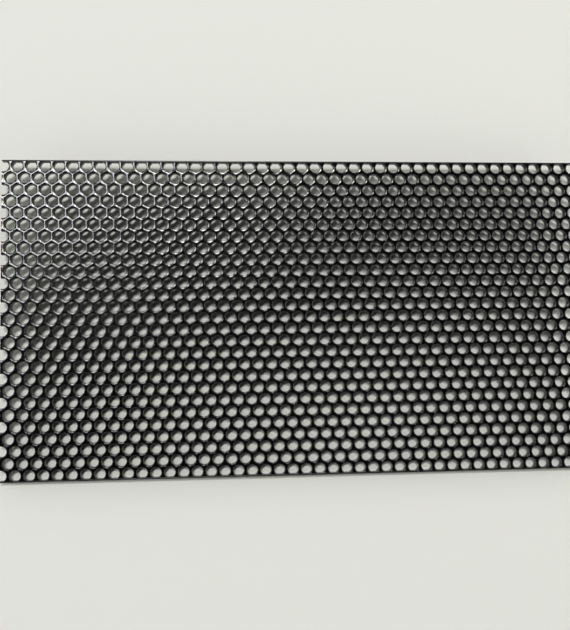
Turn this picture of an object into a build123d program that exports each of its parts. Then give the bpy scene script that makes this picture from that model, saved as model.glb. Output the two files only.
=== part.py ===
"""Honeycomb grid: a thin slice of tubular honeycomb for narrowing the beam of a studio lamp.

Black tubes are fused side by side into rows, and the rows are fused to each other along their
zigzag sides, half a tube out of step. A flat strip closes the sheet along each of its two long
edges. The two short edges are raw cuts, so every second row ends in a tube that is cut open.

Frame: the sheet lies flat, tube axes along +Z, rows along X. The origin is at the middle of the
bottom face. Units are millimetres.
"""
import os
from math import sqrt

from build123d import *

# Driving dimensions
bore = 3.12             # clear width of a tube
wall = 0.88             # wall between two neighbouring bores
depth = 2.0             # thickness of the sheet, the length of each tube
lip_width = 0.25        # flare where a bore meets either face, where the hot cut melted it back
row_count = 27          # rows of tubes; the first and the last are cut-ended rows
tubes_per_row = 43      # whole tubes in each full row; a cut-ended row has one fewer
end_wall = 0.85         # wall left at the raw cut, beyond the last whole bore of a full row
edge_opening = 1.40     # from the axis line of the first or last row to its edge strip
strip_thickness = 0.45  # thickness of each edge strip across the sheet

# Sizes that follow from them
pitch = bore + wall                           # tube to tube along a row
row_step = pitch * sqrt(3) / 2                # row to row
side_corner = pitch / sqrt(3)                 # axis line to a corner of the zigzag side
side_valley = side_corner / 2                 # axis line to a valley of the zigzag side
lip = min(lip_width, 0.4 * wall, 0.4 * depth)
half_length = (tubes_per_row - 1) * pitch / 2 + bore / 2 + end_wall
rows_half_width = (row_count - 1) * row_step / 2 + edge_opening


def is_full(row):
    """Every second row, starting from the second, has all its tubes whole."""
    return row % 2 == 1


def row_axis(row):
    """Where the axis line of a row lies across the sheet."""
    return (row - (row_count - 1) / 2) * row_step


def tube_axes(row):
    """Where the tubes of a row stand; a cut-ended row has a half-tube at each end."""
    count = tubes_per_row if is_full(row) else tubes_per_row + 1
    return [((i - (count - 1) / 2) * pitch, row_axis(row)) for i in range(count)]


def is_outer(row, side):
    """The side of the first or last row that faces its edge strip, which melts flat against it."""
    return row == (0 if side < 0 else row_count - 1)


def side_points(row, side):
    """One side of a row, left to right, past both raw cuts: a zigzag, or straight beside an edge strip."""
    first_x, y = tube_axes(row)[0]
    if is_outer(row, side):
        return [(first_x - pitch, y + side * side_corner), (pitch - first_x, y + side * side_corner)]
    points = []
    for x in (first_x - pitch, *[x for x, _ in tube_axes(row)], pitch - first_x):
        points.append((x, y + side * side_corner))
        points.append((x + pitch / 2, y + side * side_valley))
    return points


# What is taken out of a row for each tube: a straight bore that flares at both faces
with BuildPart(mode=Mode.PRIVATE) as bore_cutter:
    with BuildSketch(Plane.XZ):
        with BuildLine():
            Polyline(
                (0, -lip),
                (bore / 2 + 2 * lip, -lip),
                (bore / 2, lip),
                (bore / 2, depth - lip),
                (bore / 2 + 2 * lip, depth + lip),
                (0, depth + lip),
                close=True,
            )
        make_face()
    revolve(axis=Axis.Z)

os.makedirs("parts", exist_ok=True)

# Tube rows
for row in range(row_count):
    with BuildPart() as tube_row:
        with BuildSketch():
            with BuildLine():
                Polyline(*side_points(row, 1), *reversed(side_points(row, -1)), close=True)
            make_face()
            Rectangle(2 * half_length, 2 * rows_half_width, mode=Mode.INTERSECT)
        extrude(amount=depth)
        with Locations(*tube_axes(row)):
            add(bore_cutter.part, mode=Mode.SUBTRACT)
    tube_row.part.label = f"tube_row_{row + 1:02d}"
    export_step(tube_row.part, f"parts/{tube_row.part.label}.step")

# Edge strips
for name, side in (("front_edge_strip", -1), ("rear_edge_strip", 1)):
    with BuildPart() as edge_strip:
        with Locations((0, side * (rows_half_width + strip_thickness / 2), depth / 2)):
            Box(2 * half_length, strip_thickness, depth)
    edge_strip.part.label = name
    export_step(edge_strip.part, f"parts/{name}.step")
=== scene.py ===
"""Looks of the honeycomb grid: fused black tubes, their edge strips, a pale floor and soft light."""
import math

import bmesh
import bpy
from mathutils import Matrix, Quaternion, Vector


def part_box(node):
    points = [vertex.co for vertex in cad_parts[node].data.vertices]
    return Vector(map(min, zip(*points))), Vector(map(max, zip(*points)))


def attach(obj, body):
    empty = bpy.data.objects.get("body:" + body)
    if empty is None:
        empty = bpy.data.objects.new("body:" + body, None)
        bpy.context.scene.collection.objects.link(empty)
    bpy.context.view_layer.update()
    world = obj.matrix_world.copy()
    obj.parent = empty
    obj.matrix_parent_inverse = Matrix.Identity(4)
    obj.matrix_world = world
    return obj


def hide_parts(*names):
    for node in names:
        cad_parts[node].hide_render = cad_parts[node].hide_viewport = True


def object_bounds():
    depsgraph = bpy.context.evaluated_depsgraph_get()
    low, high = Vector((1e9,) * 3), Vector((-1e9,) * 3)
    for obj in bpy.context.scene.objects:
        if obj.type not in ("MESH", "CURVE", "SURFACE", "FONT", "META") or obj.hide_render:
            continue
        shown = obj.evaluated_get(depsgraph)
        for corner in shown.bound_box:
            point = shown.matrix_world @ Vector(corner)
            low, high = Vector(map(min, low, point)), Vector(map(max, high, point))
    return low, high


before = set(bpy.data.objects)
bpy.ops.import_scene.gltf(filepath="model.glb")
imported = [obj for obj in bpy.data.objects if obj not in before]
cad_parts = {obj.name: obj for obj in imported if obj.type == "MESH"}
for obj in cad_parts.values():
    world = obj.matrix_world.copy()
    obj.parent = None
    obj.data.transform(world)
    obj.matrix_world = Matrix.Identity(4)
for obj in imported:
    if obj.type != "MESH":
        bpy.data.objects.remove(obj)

cad_low, cad_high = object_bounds()
MM = 0.001

# Sizes that the frame gives
first_full_low, first_full_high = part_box("tube_row_02")
side_corner = (first_full_high.y - first_full_low.y) / 2   # axis line to a corner of the zigzag side
pitch = side_corner * math.sqrt(3)                         # tube to tube along a row
depth = cad_high.z - cad_low.z
half_length = cad_high.x
row_names = sorted(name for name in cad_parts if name.startswith("tube_row_"))

# Sizes of the tubes that the boxes don't give
bore = 3.12 * MM
lip_radius = 0.26 * MM       # the hot cut melts each mouth round
segments = 12                # corners round a tube, two to each side of its hexagon
lip_steps = 2                # flats across each rounded lip
weld_distance = 0.002 * MM   # closes the seam where a grid is rolled into a tube
crease_angle = math.radians(50)
arris_radius = 0.12 * MM     # on the edge strips


def add_node(tree, kind, *inputs, out=0, named=None, **settings):
    """Adds a node with its settings, fills its sockets in order or by name, and gives an output."""
    node = tree.nodes.new(kind)
    node.location = (200 * len(tree.nodes), 0)
    for name, value in settings.items():
        setattr(node, name, value)
    sockets = [socket for socket in node.inputs if socket.enabled]
    filled = list(zip(sockets, inputs))
    for name, value in (named or {}).items():
        filled.append((next(socket for socket in sockets if socket.name == name), value))
    for socket, value in filled:
        if isinstance(value, bpy.types.NodeSocket):
            tree.links.new(value, socket)
        elif value is not None:
            socket.default_value = value
    return node.outputs[out] if node.outputs else None


def linear(hex_colour):
    """An sRGB hex colour as linear RGBA."""
    parts = [int(hex_colour[i:i + 2], 16) / 255 for i in (1, 3, 5)]
    return (*[p / 12.92 if p <= 0.04045 else ((p + 0.055) / 1.055) ** 2.4 for p in parts], 1.0)


# Materials

def new_material(name):
    """An empty node material; gives the material and its tree."""
    material = bpy.data.materials.new(name)
    material.use_nodes = True
    material.node_tree.nodes.clear()
    return material, material.node_tree


def extruded_polycarbonate():
    """Black polycarbonate tube, extruded, then sliced with a hot wire.

    The bore is glossy with faint draw lines along the tube. The sliced faces are fire-polished with
    a slow ripple, and a little pale dust sits on them.
    """
    material, tree = new_material("extruded_black_polycarbonate")
    place = add_node(tree, "ShaderNodeTexCoord", out=3)
    ripple = add_node(tree, "ShaderNodeTexNoise",
                      named={"Vector": place, "Scale": 1 / (1.6 * MM), "Detail": 2.0})
    drawn = add_node(tree, "ShaderNodeMapping", place, named={"Scale": (1.0, 1.0, 0.06)})
    draw_lines = add_node(tree, "ShaderNodeTexNoise",
                          named={"Vector": drawn, "Scale": 1 / (0.22 * MM), "Detail": 3.0})
    relief = add_node(tree, "ShaderNodeMath", ripple, draw_lines, operation="ADD")
    bump = add_node(tree, "ShaderNodeBump",
                    named={"Height": relief, "Strength": 0.12, "Distance": 0.04 * MM})
    cloud = add_node(tree, "ShaderNodeTexNoise",
                     named={"Vector": place, "Scale": 1 / (22 * MM), "Detail": 3.0})
    tube_shade = add_node(tree, "ShaderNodeAttribute", attribute_name="tube_shade", out=2)
    tone = add_node(tree, "ShaderNodeMath", cloud, tube_shade, operation="MULTIPLY")
    colour = add_node(tree, "ShaderNodeMix", tone, data_type="RGBA", out=2,
                      named={"A": linear("#030303"), "B": linear("#080809")})
    specks = add_node(tree, "ShaderNodeTexNoise",
                      named={"Vector": place, "Scale": 1 / (0.35 * MM), "Detail": 5.0, "Roughness": 0.7})
    dust = add_node(tree, "ShaderNodeMapRange", specks, 0.68, 0.80, 0.0, 0.18)
    dusty = add_node(tree, "ShaderNodeMix", dust, data_type="RGBA", out=2,
                     named={"A": colour, "B": linear("#6a6862")})
    rough = add_node(tree, "ShaderNodeMapRange", cloud, 0.3, 0.7, 0.09, 0.13)
    surface = add_node(tree, "ShaderNodeBsdfPrincipled",
                       named={"Base Color": dusty, "Roughness": rough, "IOR": 1.585, "Normal": bump})
    add_node(tree, "ShaderNodeOutputMaterial", surface)
    return material


def rolled_polycarbonate():
    """Black polycarbonate strip, rolled and satin, with fine lines along its length."""
    material, tree = new_material("rolled_black_polycarbonate")
    place = add_node(tree, "ShaderNodeTexCoord", out=3)
    stretched = add_node(tree, "ShaderNodeMapping", place, named={"Scale": (0.03, 1.0, 1.0)})
    lines = add_node(tree, "ShaderNodeTexNoise",
                     named={"Vector": stretched, "Scale": 1 / (0.15 * MM), "Detail": 3.0})
    bump = add_node(tree, "ShaderNodeBump", named={"Height": lines, "Strength": 0.2, "Distance": 0.03 * MM})
    cloud = add_node(tree, "ShaderNodeTexNoise",
                     named={"Vector": place, "Scale": 1 / (9 * MM), "Detail": 3.0})
    colour = add_node(tree, "ShaderNodeMix", cloud, data_type="RGBA", out=2,
                      named={"A": linear("#0a0a0b"), "B": linear("#161617")})
    rough = add_node(tree, "ShaderNodeMapRange", cloud, 0.3, 0.7, 0.26, 0.38)
    surface = add_node(tree, "ShaderNodeBsdfPrincipled",
                       named={"Base Color": colour, "Roughness": rough, "IOR": 1.585, "Normal": bump})
    add_node(tree, "ShaderNodeOutputMaterial", surface)
    return material


def floor_board():
    """Matt white board with a faint tooth."""
    material, tree = new_material("matt_white_board")
    place = add_node(tree, "ShaderNodeTexCoord", out=3)
    tooth = add_node(tree, "ShaderNodeTexNoise",
                     named={"Vector": place, "Scale": 1 / (0.6 * MM), "Detail": 3.0})
    bump = add_node(tree, "ShaderNodeBump", named={"Height": tooth, "Strength": 0.05, "Distance": 0.05 * MM})
    surface = add_node(tree, "ShaderNodeBsdfPrincipled",
                       named={"Base Color": linear("#efeee9"), "Roughness": 0.85, "Normal": bump})
    add_node(tree, "ShaderNodeOutputMaterial", surface)
    return material


tube_black = extruded_polycarbonate()
strip_black = rolled_polycarbonate()
board_white = floor_board()


# Tube rows

def tube_row_tree():
    """Geometry Nodes that make one row: a hexagonal tube with a round, lipped bore, set along a line."""
    tree = bpy.data.node_groups.new("row_of_fused_tubes", "GeometryNodeTree")
    for name, kind in (
        ("Tubes", "NodeSocketInt"),
        ("First axis", "NodeSocketVector"),
        ("Pitch", "NodeSocketFloat"),
        ("Bore", "NodeSocketFloat"),
        ("Depth", "NodeSocketFloat"),
        ("Lip radius", "NodeSocketFloat"),
        ("Segments", "NodeSocketInt"),
        ("Lip steps", "NodeSocketInt"),
        ("Material", "NodeSocketMaterial"),
    ):
        tree.interface.new_socket(name, in_out="INPUT", socket_type=kind)
    tree.interface.new_socket("Geometry", in_out="OUTPUT", socket_type="NodeSocketGeometry")
    given = tree.nodes.new("NodeGroupInput").outputs
    sockets = {socket.name: socket for socket in given}

    # A grid is rolled into a tube: its X goes round the tube, and its Y goes round the wall's section
    lip_flats = add_node(tree, "ShaderNodeMath", sockets["Lip steps"], 2.0, operation="MULTIPLY")
    rings = add_node(tree, "ShaderNodeMath", lip_flats, 4.0, operation="ADD")
    around_count = add_node(tree, "ShaderNodeMath", sockets["Segments"], 1.0, operation="ADD")
    ring_count = add_node(tree, "ShaderNodeMath", rings, 1.0, operation="ADD")
    grid = add_node(tree, "GeometryNodeMeshGrid", 1.0, 1.0, around_count, ring_count)
    position = add_node(tree, "GeometryNodeInputPosition")
    across = add_node(tree, "ShaderNodeSeparateXYZ", position)
    along = add_node(tree, "ShaderNodeSeparateXYZ", position, out=1)
    turn = add_node(tree, "ShaderNodeMath", across, 0.5, operation="ADD")
    angle = add_node(tree, "ShaderNodeMath", turn, math.tau, math.radians(30), operation="MULTIPLY_ADD")
    share = add_node(tree, "ShaderNodeMath", along, 0.5, operation="ADD")
    ring_place = add_node(tree, "ShaderNodeMath", share, rings, operation="MULTIPLY")
    ring = add_node(tree, "ShaderNodeMath", ring_place, operation="ROUND")

    # Hexagon outline, with flat sides to the tube's neighbours in the row
    from_corner = add_node(tree, "ShaderNodeMath", angle, math.radians(30), operation="ADD")
    along_side = add_node(tree, "ShaderNodeMath", from_corner, math.radians(60), operation="FLOORED_MODULO")
    from_middle = add_node(tree, "ShaderNodeMath", along_side, math.radians(30), operation="SUBTRACT")
    side_cosine = add_node(tree, "ShaderNodeMath", from_middle, operation="COSINE")
    half_pitch = add_node(tree, "ShaderNodeMath", sockets["Pitch"], 0.5, operation="MULTIPLY")
    hexagon_radius = add_node(tree, "ShaderNodeMath", half_pitch, side_cosine, operation="DIVIDE")

    # Round bore, with a quarter-round lip at each face
    top_lip_end = add_node(tree, "ShaderNodeMath", sockets["Lip steps"], 2.0, operation="ADD")
    bottom_lip_start = add_node(tree, "ShaderNodeMath", sockets["Lip steps"], 3.0, operation="ADD")
    bottom_lip_end = add_node(tree, "ShaderNodeMath", lip_flats, 3.0, operation="ADD")
    top_lip = add_node(tree, "ShaderNodeMapRange", ring, 2.0, top_lip_end, 0.0, 1.0)
    bottom_lip = add_node(tree, "ShaderNodeMapRange", ring, bottom_lip_start, bottom_lip_end, 0.0, 1.0)
    lips = add_node(tree, "ShaderNodeMath", top_lip, bottom_lip, operation="ADD")
    roll = add_node(tree, "ShaderNodeMath", lips, math.radians(90), math.radians(90),
                    operation="MULTIPLY_ADD")
    roll_cosine = add_node(tree, "ShaderNodeMath", roll, operation="COSINE")
    roll_sine = add_node(tree, "ShaderNodeMath", roll, operation="SINE")
    mouth_radius = add_node(tree, "ShaderNodeMath", sockets["Bore"], 0.5, sockets["Lip radius"],
                            operation="MULTIPLY_ADD")
    bore_radius = add_node(tree, "ShaderNodeMath", roll_cosine, sockets["Lip radius"], mouth_radius,
                           operation="MULTIPLY_ADD")
    half_depth = add_node(tree, "ShaderNodeMath", sockets["Depth"], 0.5, operation="MULTIPLY")
    lip_height = add_node(tree, "ShaderNodeMath", half_depth, sockets["Lip radius"], operation="SUBTRACT")
    halfway = add_node(tree, "ShaderNodeMath", sockets["Lip steps"], 2.5, operation="ADD")
    lower_half = add_node(tree, "ShaderNodeMath", ring, halfway, operation="GREATER_THAN")
    face = add_node(tree, "ShaderNodeMath", lower_half, -2.0, 1.0, operation="MULTIPLY_ADD")
    lip_centre = add_node(tree, "ShaderNodeMath", face, lip_height, half_depth, operation="MULTIPLY_ADD")
    bore_height = add_node(tree, "ShaderNodeMath", roll_sine, sockets["Lip radius"], lip_centre,
                           operation="MULTIPLY_ADD")

    # Rings 0, 1 and the last lie on the hexagon, the others on the bore
    is_first = add_node(tree, "ShaderNodeMath", ring, 0.5, operation="LESS_THAN")
    is_early = add_node(tree, "ShaderNodeMath", ring, 1.5, operation="LESS_THAN")
    is_second = add_node(tree, "ShaderNodeMath", is_early, is_first, operation="SUBTRACT")
    before_last = add_node(tree, "ShaderNodeMath", rings, 0.5, operation="SUBTRACT")
    is_last = add_node(tree, "ShaderNodeMath", ring, before_last, operation="GREATER_THAN")
    on_hexagon = add_node(tree, "ShaderNodeMath", is_early, is_last, operation="ADD")
    radius = add_node(tree, "ShaderNodeMix", on_hexagon, named={"A": bore_radius, "B": hexagon_radius})
    hexagon_height = add_node(tree, "ShaderNodeMath", is_second, sockets["Depth"], operation="MULTIPLY")
    height = add_node(tree, "ShaderNodeMix", on_hexagon, named={"A": bore_height, "B": hexagon_height})
    angle_cosine = add_node(tree, "ShaderNodeMath", angle, operation="COSINE")
    angle_sine = add_node(tree, "ShaderNodeMath", angle, operation="SINE")
    x = add_node(tree, "ShaderNodeMath", angle_cosine, radius, operation="MULTIPLY")
    y = add_node(tree, "ShaderNodeMath", angle_sine, radius, operation="MULTIPLY")
    place = add_node(tree, "ShaderNodeCombineXYZ", x, y, height)
    rolled = add_node(tree, "GeometryNodeSetPosition", grid, None, place)
    tube = add_node(tree, "GeometryNodeMergeByDistance", rolled, named={"Distance": weld_distance})

    # The tube stands at each point of the row's line
    step = add_node(tree, "ShaderNodeCombineXYZ", sockets["Pitch"], 0.0, 0.0)
    line = add_node(tree, "GeometryNodeMeshLine", named={"Count": sockets["Tubes"], "Offset": step,
                                                         "Start Location": sockets["First axis"]})
    row = add_node(tree, "GeometryNodeInstanceOnPoints", line, named={"Instance": tube})
    shade = add_node(tree, "FunctionNodeRandomValue", data_type="FLOAT", out=1,
                     named={"Min": 0.3, "Max": 1.0, "Seed": 7})
    shaded = add_node(tree, "GeometryNodeStoreNamedAttribute", row, data_type="FLOAT", domain="INSTANCE",
                      named={"Name": "tube_shade", "Value": shade})
    real = add_node(tree, "GeometryNodeRealizeInstances", shaded)
    smooth = add_node(tree, "GeometryNodeSetShadeSmooth", real, None, True, domain="FACE")
    bend = add_node(tree, "GeometryNodeInputMeshEdgeAngle")
    is_corner = add_node(tree, "FunctionNodeCompare", bend, crease_angle, operation="GREATER_THAN")
    creased = add_node(tree, "GeometryNodeSetShadeSmooth", smooth, is_corner, False, domain="EDGE")
    painted = add_node(tree, "GeometryNodeSetMaterial", creased, None, sockets["Material"])
    add_node(tree, "NodeGroupOutput", painted)
    return tree


def fill_valley(work, valley, rim_y, low_z, high_z):
    """A three-sided plug between two tubes of an outer row, where the edge strip melted in."""
    half_width = abs(rim_y - valley.y) * math.sqrt(3)
    outline = [Vector((valley.x - half_width, rim_y)), Vector((valley.x + half_width, rim_y)), valley]
    rings = [[work.verts.new((*point, z)) for point in outline] for z in (low_z, high_z)]
    work.faces.new(rings[0])
    work.faces.new(rings[1])
    for i in range(3):
        j = (i + 1) % 3
        work.faces.new((rings[0][i], rings[0][j], rings[1][j], rings[1][i]))


def trim(work, planes):
    """Cuts the tubes off square at each plane (place, outward direction) and closes the cut."""
    for place, outward in planes:
        everything = work.verts[:] + work.edges[:] + work.faces[:]
        cut = bmesh.ops.bisect_plane(work, geom=everything, plane_co=place, plane_no=outward,
                                     dist=1e-7, clear_outer=True)["geom_cut"]
        rim = [part for part in cut if isinstance(part, bmesh.types.BMEdge)]
        if not rim:
            continue
        for edge in rim:
            edge.smooth = False
        for face in bmesh.ops.edgeloop_fill(work, edges=rim)["faces"]:
            face.smooth = False


def run_tree(tree, name, values):
    """Runs a Geometry Nodes tree with named inputs and gives its result as a plain mesh."""
    holder = bpy.data.objects.new(name, bpy.data.meshes.new(name))
    bpy.context.scene.collection.objects.link(holder)
    modifier = holder.modifiers.new(name, "NODES")
    modifier.node_group = tree
    for item in tree.interface.items_tree:
        if item.in_out == "INPUT":
            modifier[item.identifier] = values[item.name]
    evaluated = holder.evaluated_get(bpy.context.evaluated_depsgraph_get())
    mesh = bpy.data.meshes.new_from_object(evaluated)
    bpy.data.objects.remove(holder)
    return mesh


def make_tube_row(tree, name, is_full):
    """One row of tubes, trimmed to the sheet, in place of its CAD node."""
    low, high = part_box(name)
    whole_tubes = math.floor(2 * half_length / pitch)
    count = whole_tubes + 2 if is_full else whole_tubes + 1
    is_first = name == row_names[0]
    is_last = name == row_names[-1]
    axis_y = high.y - side_corner if is_first else low.y + side_corner
    first_axis = Vector((-(count - 1) / 2 * pitch, axis_y, low.z))
    mesh = run_tree(tree, name + "_tubes", {
        "Tubes": count,
        "First axis": first_axis,
        "Pitch": pitch,
        "Bore": bore,
        "Depth": depth,
        "Lip radius": lip_radius,
        "Segments": segments,
        "Lip steps": lip_steps,
        "Material": tube_black,
    })
    work = bmesh.new()
    work.from_mesh(mesh)
    if is_first or is_last:
        rim_y = low.y if is_first else high.y
        side = -1 if is_first else 1
        for i in range(count - 1):
            valley = Vector((first_axis.x + (i + 0.5) * pitch, axis_y + side * side_corner / 2))
            fill_valley(work, valley, rim_y, low.z, high.z)
    trim(work, [
        (Vector((half_length, 0, 0)), Vector((1, 0, 0))),
        (Vector((-half_length, 0, 0)), Vector((-1, 0, 0))),
        (Vector((0, high.y, 0)), Vector((0, 1, 0))),
        (Vector((0, low.y, 0)), Vector((0, -1, 0))),
    ])
    bmesh.ops.recalc_face_normals(work, faces=work.faces[:])
    for face in work.faces:
        face.material_index = 0
    work.to_mesh(mesh)
    work.free()
    mesh.materials.clear()
    mesh.materials.append(tube_black)
    piece = bpy.data.objects.new(name + "_tubes", mesh)
    bpy.context.scene.collection.objects.link(piece)
    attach(piece, "root")
    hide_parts(name)


row_tree = tube_row_tree()
for index, row_name in enumerate(row_names):
    make_tube_row(row_tree, row_name, is_full=index % 2 == 1)


# Edge strips

def make_edge_strip(name):
    """A flat strip with softened arrises, in place of its CAD node."""
    low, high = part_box(name)
    work = bmesh.new()
    bmesh.ops.create_cube(work, size=1.0)
    scale = Matrix.Diagonal((*(high - low), 1.0))
    bmesh.ops.transform(work, matrix=Matrix.Translation((low + high) / 2) @ scale, verts=work.verts[:])
    bmesh.ops.bevel(work, geom=work.edges[:], offset=arris_radius, segments=3, profile=0.5, affect="EDGES")
    for face in work.faces:
        face.smooth = True
    mesh = bpy.data.meshes.new(name + "_trim")
    work.to_mesh(mesh)
    work.free()
    mesh.materials.append(strip_black)
    piece = bpy.data.objects.new(name + "_trim", mesh)
    bpy.context.scene.collection.objects.link(piece)
    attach(piece, "root")
    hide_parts(name)


make_edge_strip("front_edge_strip")
make_edge_strip("rear_edge_strip")


# Floor, light and camera

def make_floor():
    """A pale board under the sheet, close to its front edge and a little lower under its rear edge."""
    front_gap = 0.3 * MM
    rear_gap = 2.7 * MM
    reach = 3.0   # from the sheet's middle to each side of the board
    slope = (rear_gap - front_gap) / (cad_high.y - cad_low.y)
    corners = []
    for x, y in ((-reach, -reach), (reach, -reach), (reach, reach), (-reach, reach)):
        corners.append((x, y, cad_low.z - front_gap - slope * (y - cad_low.y)))
    mesh = bpy.data.meshes.new("floor")
    mesh.from_pydata(corners, [], [(0, 1, 2, 3)])
    mesh.materials.append(board_white)
    floor = bpy.data.objects.new("floor", mesh)
    bpy.context.scene.collection.objects.link(floor)


def make_soft_light(name, place, target, size, power, colour):
    """A rectangular soft light at a place, turned to a target."""
    data = bpy.data.lights.new(name, "AREA")
    data.shape = "RECTANGLE"
    data.size, data.size_y = size
    data.energy = power
    data.color = linear(colour)[:3]
    light = bpy.data.objects.new(name, data)
    light.location = place
    light.rotation_mode = "QUATERNION"
    light.rotation_quaternion = (Vector(target) - Vector(place)).to_track_quat("-Z", "Y")
    bpy.context.scene.collection.objects.link(light)


def make_surroundings():
    """A neutral room, dark overhead and lighter towards the walls, most of all to the left and right."""
    world = bpy.data.worlds.new("room")
    bpy.context.scene.world = world
    world.use_nodes = True
    tree = world.node_tree
    tree.nodes.clear()
    direction = add_node(tree, "ShaderNodeTexCoord", out=0)
    upward = add_node(tree, "ShaderNodeSeparateXYZ", direction, out=2)
    sideways = add_node(tree, "ShaderNodeSeparateXYZ", direction)
    to_a_side = add_node(tree, "ShaderNodeMath", sideways, sideways, operation="MULTIPLY")
    walls = add_node(tree, "ShaderNodeMapRange", to_a_side, 0.2, 0.8, 2.0, 9.0)
    strength = add_node(tree, "ShaderNodeMapRange", upward, 0.15, 0.42, walls, 0.02)
    room = add_node(tree, "ShaderNodeBackground", linear("#d9dad6"), strength)
    add_node(tree, "ShaderNodeOutputWorld", room)


def make_camera(place, target, roll, lens):
    """A camera at a place, looking at a target, with +Y up in its picture before the roll."""
    data = bpy.data.cameras.new("camera")
    data.lens = lens
    data.sensor_width = 36
    data.clip_start = 0.01
    camera = bpy.data.objects.new("camera", data)
    look = (Vector(target) - Vector(place)).normalized()
    right = look.cross(Vector((0, 1, 0))).normalized()
    up = right.cross(look)
    level = Matrix((right, up, -look)).transposed().to_quaternion()
    camera.rotation_mode = "QUATERNION"
    camera.rotation_quaternion = Quaternion(look, math.radians(roll)) @ level
    camera.location = place
    bpy.context.scene.collection.objects.link(camera)
    bpy.context.scene.camera = camera


make_floor()
make_surroundings()
make_soft_light("window", place=(-0.18, 0.92, 2.0), target=(0, 0, 0), size=(0.46, 0.26), power=21.0,
                colour="#f6f8f4")
make_soft_light("left_window", place=(-0.64, 0.50, 2.0), target=(0, 0, 0), size=(0.30, 0.40), power=9.0,
                colour="#f4f6f8")
make_soft_light("side_window", place=(0.42, 0.20, 0.20), target=(0, 0, 0), size=(0.08, 0.08), power=0.15,
                colour="#fffdf4")
make_camera(place=(-0.0187, -0.0118, 0.2096), target=(-0.0038, 0.0004, 0.002), roll=0.83, lens=40)

scene = bpy.context.scene
scene.view_settings.view_transform = "Standard"
